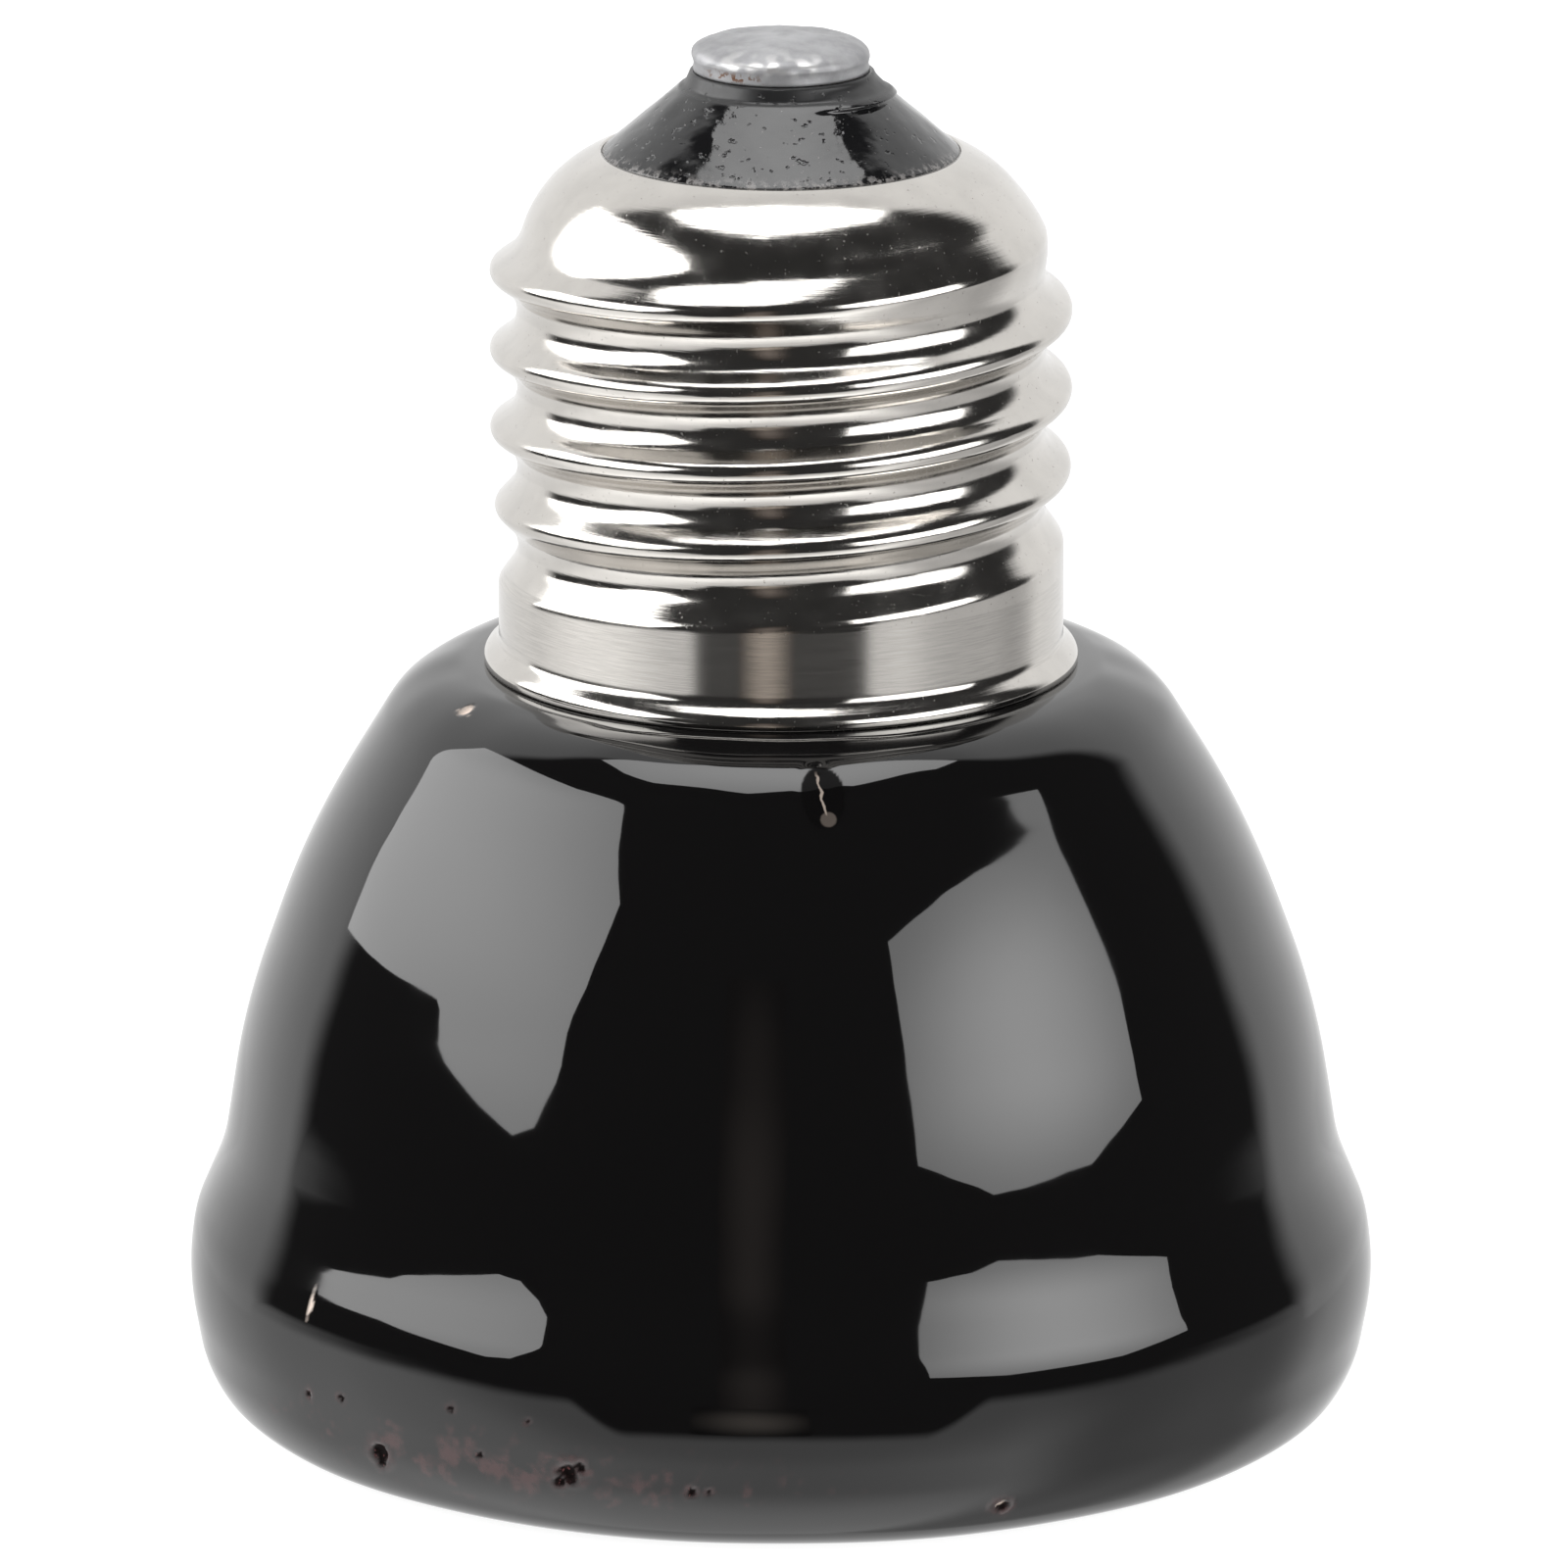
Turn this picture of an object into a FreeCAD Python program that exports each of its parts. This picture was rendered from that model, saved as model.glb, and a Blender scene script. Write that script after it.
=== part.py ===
import FreeCAD, Part

import math
import os

from FreeCAD import Vector

# Ceramic heat emitter with an Edison screw cap, standing on its flat face.
# The origin is the centre of that face, and +Z runs up the axis to the centre contact.
# The glazed ceramic body is one casting with a flat face, a bulging rim, a domed side and a
# neck that carries the cap. The heating coil lies in a ring duct in its thick face. The cap
# is a screw shell with a helical thread, a black glass insulator and a soldered centre
# contact. Two leads in fibre sleeves join the coil to the contact and to the shell.
# All sizes are in millimetres and all angles in degrees.

# Screw shell
thread_pitch = 25.4 / 7
root_radius = 12.0
thread_depth = 1.1            # from the roots out to the crests
skirt_step = 0.8              # from the roots out to the plain skirt
shell_wall = 0.3
lip_step = 0.7                # from the skirt out to the flared lip
lip_edge = 0.35
lip_flare = 1.1
skirt_height = 3.4            # from the seat to where the thread begins
crest_top = 19.3              # from the seat to where the last crest ends
crest_bevel = 0.8
dome_radius = 5.6
dome_spring = 18.1            # from the seat to the dome's centre of curvature
dome_rim_radius = 8.1
dome_foot = 2.4               # rise above its centre at which the last crest meets the dome
lining_steps = 3

# Thread groove, placed in turns from the crest that crosses the +X side at mid thread
crest_rise = 8.86             # from the seat
first_turn = -2.0
last_turn = 3.0
run_out = 0.5                 # turns over which the lowest groove deepens
groove_floor_width = 0.9
groove_mouth_width = 2.75     # at the crest's radius
groove_reach = 1.5            # how far out from its floor the groove is cut

# Glass insulator, eyelet and solder
cone_top_radius = 4.6
cone_height = 2.95
collar_radius = 4.3
collar_height = 0.45
glass_depth = 3.2             # how far the glass reaches below the dome's rim
eyelet_plate_radius = 3.7
eyelet_plate = 0.2
eyelet_tube_radius = 1.2
eyelet_tube_length = 2.9
solder_radius = 4.1
solder_height = 1.755
solder_edge = 0.48             # from the plate's top up to the button's widest line
solder_hem = 3.95             # radius at which the solder meets the glass round the plate

# Ceramic body
seat_height = 34.6
seat_margin = 0.45            # width of the seat left bare round the lip
seat_edge = 0.24              # from the seat down to its rounded shoulder
shoulder_radius = 17.1
shoulder_drop = 1.02          # from the seat down to the shoulder's corner
neck_height = 14.4
neck_edge = 1.0               # the chamfer round the neck's top
lead_room = 0.05              # left beside the lead where it lies between neck and shell

# Half section of the body's side from the flat face up to the shoulder: radius, height, arc
side_corners = [
    (25.2, 0, 2.3),
    (27.85, 5.0, 8.2),
    (25.46, 11.68, 8),
    (24.42, 18.27, 30),
    (21.37, 26.61, 40),
]
shoulder_bend = 4.5

# Heating coil and its duct
coil_ring_radius = 18.4
coil_radius = 1.9             # to the middle of the wire
wire_radius = 0.4
coil_turns = 13
coil_bends = 8                # straight runs in each turn
coil_gap = 60.0               # angle left open between the coil's ends
duct_foot = 4.0
duct_clearance = 0.2

# Leads, ferrules and sleeves
lead_radius = 0.4
lead_angle = 24.0             # each coil end stands this far from the +X side
neck_lead_spread = 3.5        # how far each lead is from the axis at the neck's top
ferrule_radius = 0.9
ferrule_rise = 0.6            # from the duct's roof to the ferrule
ferrule_height = 2.4
ferrule_grip = 1.0            # how far a tail or a lead reaches into its ferrule
sleeve_radius = 1.1
sleeve_end = 0.6              # how far below the neck's top the sleeves stop
fold_drop = 2.8               # how far the shell's lead hangs down outside the neck
clearance = 0.02
cement_height = 2.3

# Worked out from the above
neck_top = seat_height + neck_height
crest_radius = root_radius + thread_depth
skirt_radius = root_radius + skirt_step
lip_radius = skirt_radius + lip_step
seat_radius = lip_radius + seat_margin
crest_height = seat_height + crest_rise
bore_radius = root_radius - shell_wall
skirt_bore = skirt_radius - shell_wall
neck_radius = bore_radius - 2 * lead_radius - lead_room
skirt_top = seat_height + skirt_height
dome_centre_radius = root_radius - dome_radius
dome_centre_height = seat_height + dome_spring
dome_top = dome_centre_height + math.sqrt(dome_radius ** 2 - (dome_rim_radius - dome_centre_radius) ** 2)
collar_foot = dome_top + cone_height
collar_top = collar_foot + collar_height
solder_foot = collar_top + eyelet_plate
solder_top = solder_foot + solder_height
duct_half = coil_radius + wire_radius + duct_clearance
coil_height = duct_foot + duct_half
duct_roof = duct_foot + 2 * duct_half
ferrule_foot = duct_roof + ferrule_rise
ferrule_top = ferrule_foot + ferrule_height
sleeve_top = neck_top - sleeve_end
fold_radius = neck_radius + lead_radius + clearance
fold_height = neck_top + lead_radius + clearance

axis_z = Vector(0, 0, 1)
origin = Vector(0, 0, 0)


def at(radius, height):
    """A point of a half section."""
    return Vector(radius, 0, height)


def polar(radius, angle, height):
    """A point by its distance from the axis, its angle from +X and its height."""
    turn = math.radians(angle)
    return Vector(radius * math.cos(turn), radius * math.sin(turn), height)


def rounded_path(corners):
    """Straight runs joined by tangent arcs, through corners of radius, height and arc radius."""
    points = [at(radius, height) for radius, height, _ in corners]
    edges = []
    here = points[0]
    for index in range(1, len(points) - 1):
        corner = points[index]
        bend = corners[index][2]
        back = (points[index - 1] - corner).normalize()
        ahead = (points[index + 1] - corner).normalize()
        half_angle = back.getAngle(ahead) / 2
        reach = bend / math.tan(half_angle)
        start = corner + back * reach
        end = corner + ahead * reach
        if here.distanceToPoint(start) > 1e-6:
            edges.append(Part.makeLine(here, start))
        if bend > 0:
            inward = (back + ahead).normalize()
            middle = corner + inward * (bend / math.sin(half_angle) - bend)
            edges.append(Part.Arc(start, middle, end).toShape())
        here = end
    if here.distanceToPoint(points[-1]) > 1e-6:
        edges.append(Part.makeLine(here, points[-1]))
    return edges


def turned(edges):
    """A solid of revolution about the axis, from the edges of its closed half section."""
    return Part.Face(Part.Wire(edges)).revolve(origin, axis_z, 360)


def turned_corners(corners):
    """A solid of revolution from the rounded corners of its half section."""
    return turned(rounded_path(corners + [corners[0]]))


def ring(inner, outer, foot, top):
    """A plain ring about the axis."""
    return turned_corners([(inner, foot, 0), (outer, foot, 0), (outer, top, 0), (inner, top, 0)])


def bar_through(points, section):
    """A bar of the given section, swept through points and mitred at each bend."""
    return Part.makePolygon(points).makePipeShell([section], True, False, 1)


def round_bar(points, radius):
    """A round bar through points, mitred at each bend."""
    return bar_through(points, Part.Wire(Part.makeCircle(radius, points[0], points[1] - points[0])))


def smooth(share):
    """Rises from 0 to 1 with level ends."""
    share = min(max(share, 0.0), 1.0)
    return share * share * (3 - 2 * share)


# Screw shell


def dome_point(radius, rise):
    """The dome's point at a rise above its centre of curvature, on an arc of the given radius."""
    return at(dome_centre_radius + math.sqrt(radius ** 2 - rise ** 2), dome_centre_height + rise)


def dome_lining():
    """Corners of the dome's inner face, from its foot up to its rim."""
    radius = dome_radius - shell_wall
    last = math.acos((dome_rim_radius - dome_centre_radius) / radius)
    corners = []
    for step in range(lining_steps + 1):
        point = dome_point(radius, radius * math.sin(last * step / lining_steps))
        corners.append((point.x, point.z, 0))
    return corners


def shell_outside():
    """The unthreaded outside: a flared lip, a skirt that widens to the crests, and the dome."""
    last_crest = seat_height + crest_top
    foot = dome_point(dome_radius, dome_foot)
    rim = at(dome_rim_radius, dome_top)
    middle = dome_point(dome_radius, (dome_foot + rim.z - dome_centre_height) / 2)
    side = rounded_path([
        (0, seat_height, 0),
        (lip_radius, seat_height, 0),
        (lip_radius, seat_height + lip_edge, 0),
        (skirt_radius, seat_height + lip_flare, 0),
        (skirt_radius, skirt_top, 0),
        (crest_radius, last_crest - crest_bevel, 0),
        (crest_radius - crest_bevel / 2, last_crest, 0),
        (foot.x, foot.z, 0),
    ])
    top = [
        Part.Arc(foot, middle, rim).toShape(),
        Part.makeLine(rim, at(0, rim.z)),
        Part.makeLine(at(0, rim.z), at(0, seat_height)),
    ]
    return turned(side + top)


def shell_inside():
    """The hollow of the shell: its skirt, the bore behind the thread, and the dome's lining."""
    return turned_corners([
        (0, seat_height, 0),
        (lip_radius - shell_wall, seat_height, 0),
        (skirt_bore, seat_height + lip_flare, 0),
        (skirt_bore, skirt_top - 0.8, 0),
        (bore_radius, skirt_top, 0),
    ] + dome_lining() + [
        (dome_rim_radius, dome_top, 0),
        (0, dome_top, 0),
    ])


def groove_cutter():
    """The thread's groove: a flat-floored V swept up a helix that runs in from outside the skirt."""
    steps = int((last_turn - first_turn) * 12)
    path_points = []
    for step in range(steps + 1):
        turn = first_turn + (last_turn - first_turn) * step / steps
        lift = 1 - smooth((turn - first_turn) / run_out)
        radius = root_radius + (crest_radius - root_radius + 0.2) * lift
        path_points.append(polar(radius, 360 * turn, crest_height + thread_pitch * (turn + 0.5)))
    path = Part.BSplineCurve()
    path.interpolate(path_points)
    start = path_points[0]
    mouth = start + Vector(start.x, start.y, 0).normalize() * groove_reach
    flank = (groove_mouth_width - groove_floor_width) / 2 / (crest_radius - root_radius)
    half_floor = axis_z * (groove_floor_width / 2)
    half_mouth = half_floor + axis_z * (flank * groove_reach)
    section = Part.makePolygon([
        start - half_floor,
        start + half_floor,
        mouth + half_mouth,
        mouth - half_mouth,
        start - half_floor,
    ])
    sweep = Part.BRepOffsetAPI.MakePipeShell(Part.Wire(path.toShape()))
    sweep.setBiNormalMode(axis_z)
    sweep.add(section)
    sweep.build()
    sweep.makeSolid()
    return sweep.shape()


def screw_shell():
    """The screw shell, with a helical thread cut round its outside."""
    return shell_outside().cut(groove_cutter()).cut(shell_inside())


# Top of the cap


def glass_insulator():
    """The black glass, cast under the dome and up to the collar that carries the contact."""
    lining = dome_lining()[1:]
    bore = eyelet_tube_radius + clearance
    return turned_corners([(bore, lining[0][1], 0)] + lining + [
        (dome_rim_radius, dome_top, 0),
        (cone_top_radius, collar_foot, 0),
        (collar_radius, collar_foot + 0.1, 0),
        (collar_radius, collar_top, 0),
        (bore, collar_top, 0),
    ])


def contact_eyelet():
    """The contact's plate on the collar, with its tube let into the glass."""
    bore = lead_radius + clearance
    return turned_corners([
        (bore, collar_top - eyelet_tube_length, 0),
        (eyelet_tube_radius, collar_top - eyelet_tube_length, 0),
        (eyelet_tube_radius, collar_top, 0),
        (eyelet_plate_radius, collar_top, 0),
        (eyelet_plate_radius, solder_foot, 0),
        (bore, solder_foot, 0),
    ])


def contact_solder(lead):
    """The low solder button over the plate and round its edge, run round the lead's end."""
    dome = solder_height - solder_edge
    button = turned_corners([
        (0, solder_foot, 0),
        (eyelet_plate_radius + clearance, solder_foot, 0),
        (eyelet_plate_radius + clearance, collar_top, 0),
        (solder_hem, collar_top, 0),
        (solder_radius, solder_foot + solder_edge, 0),
        (solder_radius - 0.06 * solder_radius, solder_top - 0.5 * dome, 0),
        (solder_radius - 0.22 * solder_radius, solder_top - 0.17 * dome, 0),
        (solder_radius - 0.5 * solder_radius, solder_top, 0),
        (0, solder_top, 0),
    ])
    return button.cut(lead)


# Ceramic body


def way_point(side, height):
    """A point on the straight way of a lead, from the duct's roof up to the neck's top."""
    foot = polar(coil_ring_radius, side * lead_angle, duct_roof)
    top = Vector(0, side * neck_lead_spread, neck_top)
    return foot + (top - foot) * ((height - duct_roof) / (neck_top - duct_roof))


def way_bar(side, radius, foot, top):
    """A round bar along a lead's way, between two heights."""
    start = way_point(side, foot)
    run = way_point(side, top) - start
    return Part.makeCylinder(radius, run.Length, start, run)


def ceramic_body():
    """The cast bell with its neck, its ring duct and the two ways for the leads."""
    bell = turned_corners([(0, 0, 0)] + side_corners + [
        (shoulder_radius, seat_height - shoulder_drop, shoulder_bend),
        (seat_radius, seat_height - seat_edge, 0),
        (seat_radius, seat_height, 0),
        (neck_radius, seat_height, 0),
        (neck_radius, neck_top - neck_edge, 0),
        (neck_radius - neck_edge, neck_top, 0),
        (0, neck_top, 0),
    ])
    duct = ring(coil_ring_radius - duct_half, coil_ring_radius + duct_half, duct_foot, duct_roof)
    body = bell.cut(duct)
    for side in (-1, 1):
        body = body.cut(way_bar(side, sleeve_radius + clearance, duct_roof - 1, neck_top + 1))
    return body


def basing_cement():
    """The ring of cement between the neck and the shell's skirt."""
    return turned_corners([
        (neck_radius, seat_height, 0),
        (lip_radius - shell_wall, seat_height, 0),
        (skirt_bore, seat_height + lip_flare, 0),
        (skirt_bore, seat_height + cement_height, 0),
        (neck_radius, seat_height + cement_height, 0),
    ])


# Coil, ferrules, leads and sleeves


def heating_coil():
    """A wire coil bent into an open ring, with a tail up into the ferrule at each end."""
    span = 360 - coil_gap
    steps = coil_turns * coil_bends
    tail_top = ferrule_foot + ferrule_grip
    points = [way_point(1, tail_top), way_point(1, duct_roof - wire_radius)]
    for step in range(steps + 1):
        wind = 2 * math.pi * coil_turns * step / steps + math.pi / 2
        angle = coil_gap / 2 + span * step / steps
        radius = coil_ring_radius + coil_radius * math.cos(wind)
        points.append(polar(radius, angle, coil_height + coil_radius * math.sin(wind)))
    points += [way_point(-1, duct_roof - wire_radius), way_point(-1, tail_top)]
    run = points[1] - points[0]
    across = run.cross(axis_z).normalize() * wire_radius
    corners = [points[0] + FreeCAD.Rotation(run, 60 * corner).multVec(across) for corner in range(6)]
    return bar_through(points, Part.makePolygon(corners + [corners[0]]))


def ferrule(side):
    """The crimp barrel that joins a coil tail to its lead, with a web between the two."""
    bore = lead_radius + clearance
    grip = ferrule_grip + clearance
    barrel = way_bar(side, ferrule_radius, ferrule_foot, ferrule_top)
    barrel = barrel.cut(way_bar(side, bore, ferrule_foot, ferrule_foot + grip))
    return barrel.cut(way_bar(side, bore, ferrule_top - grip, ferrule_top))


def lead(side, onward):
    """A lead from its ferrule up out of the neck, then on through the given points."""
    start = way_point(side, ferrule_top - ferrule_grip)
    return round_bar([start, way_point(side, fold_height)] + onward, lead_radius)


def centre_lead():
    """The lead that crosses to the axis and runs up through the eyelet into the solder."""
    return lead(1, [at(0, dome_top - glass_depth - 1.2), at(0, solder_foot + 1.0)])


def shell_lead():
    """The lead that folds over the neck and is trapped against the inside of the shell."""
    return lead(-1, [Vector(0, -fold_radius, fold_height), Vector(0, -fold_radius, neck_top - fold_drop)])


def sleeve(side):
    """The fibre sleeve that lines a lead's way from its ferrule to the top of the neck."""
    foot = ferrule_top + clearance
    tube = way_bar(side, sleeve_radius, foot, sleeve_top)
    return tube.cut(way_bar(side, lead_radius + clearance, foot, sleeve_top))


def build():
    """All pieces by name."""
    centre = centre_lead()
    return {
        "ceramic_body": ceramic_body(),
        "screw_shell": screw_shell(),
        "glass_insulator": glass_insulator(),
        "contact_eyelet": contact_eyelet(),
        "contact_solder": contact_solder(centre),
        "basing_cement": basing_cement(),
        "heating_coil": heating_coil(),
        "centre_lead": centre,
        "shell_lead": shell_lead(),
        "centre_sleeve": sleeve(1),
        "shell_sleeve": sleeve(-1),
        "centre_ferrule": ferrule(1),
        "shell_ferrule": ferrule(-1),
    }


os.makedirs("parts", exist_ok=True)
for name, shape in build().items():
    shape.exportStep("parts/" + name + ".step")
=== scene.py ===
"""Looks of a ceramic heat emitter with a screw cap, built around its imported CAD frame."""

import math

import bpy
import numpy as np
from bpy.props import FloatProperty, FloatVectorProperty, PointerProperty
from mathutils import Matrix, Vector


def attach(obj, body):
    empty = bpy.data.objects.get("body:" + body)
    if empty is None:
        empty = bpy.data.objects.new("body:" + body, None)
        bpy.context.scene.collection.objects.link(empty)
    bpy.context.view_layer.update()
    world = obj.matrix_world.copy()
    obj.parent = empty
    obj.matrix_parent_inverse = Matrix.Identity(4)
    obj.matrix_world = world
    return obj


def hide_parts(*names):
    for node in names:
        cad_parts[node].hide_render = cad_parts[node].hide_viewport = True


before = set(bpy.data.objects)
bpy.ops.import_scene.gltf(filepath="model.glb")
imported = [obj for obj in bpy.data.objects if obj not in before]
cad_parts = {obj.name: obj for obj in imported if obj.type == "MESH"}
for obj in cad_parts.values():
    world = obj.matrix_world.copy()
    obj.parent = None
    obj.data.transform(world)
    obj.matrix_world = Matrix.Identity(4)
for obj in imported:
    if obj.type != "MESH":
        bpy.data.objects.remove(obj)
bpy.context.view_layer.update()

bl_info = {
    "name": "Ceramic heat emitter",
    "version": (1, 0, 0),
    "blender": (4, 5, 0),
    "location": "View3D > Sidebar > Heat emitter",
    "description": "Glazed body, nickel screw shell, glass insulator and contact of a heat emitter",
    "category": "Object",
}

MM = 0.001
BODY = "root"

# Half section of the glazed body's side: radius, height and bend of each corner, in millimetres.
SIDE = [
    (25.2, 0, 2.3),
    (26.48, 2.05, 5.5),
    (27.19, 5.9, 10),
    (26.83, 8.48, 5),
    (25.46, 11.68, 8),
    (24.42, 18.27, 30),
    (21.37, 26.61, 40),
    (16.7, 34.2, 5),
]

# Pits in the glaze: turn right of the front in degrees, height, radius and depth in millimetres.
PITS = [
    (-51.9, 4.6, 0.20, 0.12),
    (-46.8, 5.0, 0.17, 0.10),
    (-32.8, 5.8, 0.16, 0.08),
    (-42.4, 2.8, 0.46, 0.24),
    (-42.6, 2.25, 0.26, 0.16),
    (-29.9, 3.8, 0.17, 0.08),
    (-24.6, 5.8, 0.10, 0.06),
    (-20.6, 3.55, 0.42, 0.18),
    (-19.4, 3.9, 0.26, 0.12),
    (-21.6, 3.1, 0.24, 0.14),
    (-8.6, 3.1, 0.20, 0.10),
    (-6.9, 3.1, 0.14, 0.07),
    (21.9, 1.8, 0.30, 0.16),
]

# Other flaws in the glaze, and the spot of the painted highlight dot: turn, height, half width and
# half height of each spot, and how ragged its edge is.
CHIP = (-62.5, 33.85, 0.26, 0.28, 0.3)
SCRATCH = (-52.1, 8.65, 0.10, 0.42, 0.2)
SPECK = (21.7, 1.95, 0.12, 0.12, 0.12)
SMEAR = (-28.0, 3.3, 7.5, 1.0, 0.3)
DROP = (6.05, 32.6, 0.95, 1.5, 0.0)
# The painted highlight dot near the drop's foot: a pale mark only, with no relief.
HIGHLIGHT_DOT = (6.6, 31.68, 0.36, 0.34, 0.0)
NUB = (5.2, 33.55, 0.4, 0.28, 0.1)

# How far the painted highlight dot's mark is measured, as a multiple of its size, and the painted highlight
# line's in half widths.
HIGHLIGHT_DOT_REACH = 3
HIGHLIGHT_LINE_REACH = 20

# The pale line on the drop, a painted highlight: its top and bottom heights and half width in
# millimetres, its turn at the top in degrees, and its lean in degrees for each millimetre down.
HIGHLIGHT_LINE_TOP = 33.46
HIGHLIGHT_LINE_BOTTOM = 31.75
HIGHLIGHT_LINE_HALF_WIDTH = 0.07
HIGHLIGHT_LINE_TURN = 5.2752
HIGHLIGHT_LINE_LEAN = 0.62

# Degrees along the thread: over which the groove deepens and the first crest rises, where the
# last crest starts to fade into the dome, and over which it fades.
GROOVE_RUN = 150
CREST_RUN = 400
FADE_START = 1260
FADE_RUN = 260

# Points in each row of the shell and the glass, and in each row of the solder.
TURN_COUNT = 288
SOLDER_TURN_COUNT = 240


class EmitterSizes(bpy.types.PropertyGroup):
    """Sizes that the pieces are built from."""

    seat_height: FloatProperty(
        name="Seat height", description="Height of the shell's seat above the flat face",
        default=34.42 * MM, unit="LENGTH")
    seat_radius: FloatProperty(
        name="Seat radius", description="Radius of the seat under the shell's lip",
        default=13.95 * MM, unit="LENGTH")
    neck_radius: FloatProperty(
        name="Neck radius", description="Radius of the ceramic neck inside the shell",
        default=10.85 * MM, unit="LENGTH")
    neck_height: FloatProperty(
        name="Neck height", description="Rise of the neck above the seat",
        default=14.4 * MM, unit="LENGTH")
    pitch: FloatProperty(
        name="Thread pitch", description="Rise of the thread in one turn",
        default=25.4 / 7 * MM, unit="LENGTH")
    crest_height: FloatProperty(
        name="Crest height", description="Height at which a mid crest crosses the right side",
        default=43.46 * MM, unit="LENGTH")
    crest_radius: FloatProperty(
        name="Crest radius", description="Radius of the thread's crests",
        default=13.15 * MM, unit="LENGTH")
    root_radius: FloatProperty(
        name="Root radius", description="Radius of the thread's roots",
        default=11.92 * MM, unit="LENGTH")
    skirt_radius: FloatProperty(
        name="Skirt radius", description="Radius of the plain skirt",
        default=12.8 * MM, unit="LENGTH")
    crest_bend: FloatProperty(
        name="Crest bend", description="Radius of the crests' rounding",
        default=0.55 * MM, unit="LENGTH")
    root_bend: FloatProperty(
        name="Root bend", description="Radius of the roots' rounding",
        default=1.28 * MM, unit="LENGTH")
    wall: FloatProperty(
        name="Wall", description="Thickness of the shell's metal",
        default=0.3 * MM, unit="LENGTH")
    lip_radius: FloatProperty(
        name="Lip radius", description="Radius of the flared lip",
        default=13.5 * MM, unit="LENGTH")
    dome_radius: FloatProperty(
        name="Dome bend", description="Radius of the shell's turned-in top",
        default=5.6 * MM, unit="LENGTH")
    dome_height: FloatProperty(
        name="Dome height", description="Height of the centre of that bend",
        default=52.7 * MM, unit="LENGTH")
    rim_radius: FloatProperty(
        name="Rim radius", description="Radius of the opening that the glass fills",
        default=8.1 * MM, unit="LENGTH")
    cone_top_radius: FloatProperty(
        name="Cone top radius", description="Radius at the top of the glass cone",
        default=4.6 * MM, unit="LENGTH")
    cone_height: FloatProperty(
        name="Cone height", description="Rise of the glass cone above the rim",
        default=2.95 * MM, unit="LENGTH")
    collar_radius: FloatProperty(
        name="Collar radius", description="Radius of the glass collar under the contact",
        default=4.3 * MM, unit="LENGTH")
    collar_height: FloatProperty(
        name="Collar height", description="Height of the glass collar",
        default=0.45 * MM, unit="LENGTH")
    contact_radius: FloatProperty(
        name="Contact radius", description="Radius of the soldered contact",
        default=4.1 * MM, unit="LENGTH")
    contact_top: FloatProperty(
        name="Contact top", description="Height of the contact's top",
        default=63.39 * MM, unit="LENGTH")


class EmitterColours(bpy.types.PropertyGroup):
    """Colours of the finishes."""

    glaze: FloatVectorProperty(
        name="Glaze", description="Colour of the black glaze", subtype="COLOR",
        size=4, min=0, max=1, default=(0.0035, 0.0033, 0.0034, 1))
    clay: FloatVectorProperty(
        name="Clay", description="Colour of the fired clay in a pit", subtype="COLOR",
        size=4, min=0, max=1, default=(0.115, 0.045, 0.045, 1))
    chip: FloatVectorProperty(
        name="Chip", description="Colour of the bare clay in a chip", subtype="COLOR",
        size=4, min=0, max=1, default=(0.72, 0.60, 0.52, 1))
    nickel: FloatVectorProperty(
        name="Nickel", description="Colour of the nickel plating", subtype="COLOR",
        size=4, min=0, max=1, default=(0.63, 0.605, 0.57, 1))
    glass: FloatVectorProperty(
        name="Glass", description="Colour of the black glass", subtype="COLOR",
        size=4, min=0, max=1, default=(0.006, 0.006, 0.0065, 1))
    solder: FloatVectorProperty(
        name="Solder", description="Colour of the dull solder", subtype="COLOR",
        size=4, min=0, max=1, default=(0.42, 0.42, 0.43, 1))


# Shapes


def smooth(share):
    """Rises from 0 to 1 with level ends."""
    share = np.clip(share, 0, 1)
    return share * share * (3 - 2 * share)


def waves(points, length, seed, count=24):
    """Even, smooth unevenness of about unit size: sine waves of about one length, with seeded
    headings, stretches and phases, added up."""
    draw = np.random.default_rng(seed)
    heading = draw.normal(size=(count, 3))
    heading /= np.linalg.norm(heading, axis=1)[:, None]
    heading *= (2 * math.pi / length * draw.uniform(0.6, 1.6, count))[:, None]
    phase = draw.uniform(0, 2 * math.pi, count)
    total = np.zeros(points.shape[:-1])
    for way, start in zip(heading, phase):
        total += np.sin(points @ way + start)
    return total / math.sqrt(count / 2)


def graded(start, stop, coarse, fine, bands, soft):
    """Places from start to stop, a coarse step apart, but a fine step apart inside the bands.
    The density of places changes smoothly over the soft distance, and the places are where
    its running total reaches whole steps."""
    place = np.linspace(start, stop, 20001)
    share = np.zeros_like(place)
    for low, high in bands:
        share = np.maximum(share, smooth((place - low) / soft + 1) * smooth((high - place) / soft + 1))
    density = 1 / coarse + (1 / fine - 1 / coarse) * share
    total = np.concatenate([[0], np.cumsum((density[1:] + density[:-1]) / 2 * np.diff(place))])
    steps = math.ceil(total[-1])
    return np.interp(np.linspace(0, total[-1], steps + 1), total, place)


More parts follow.
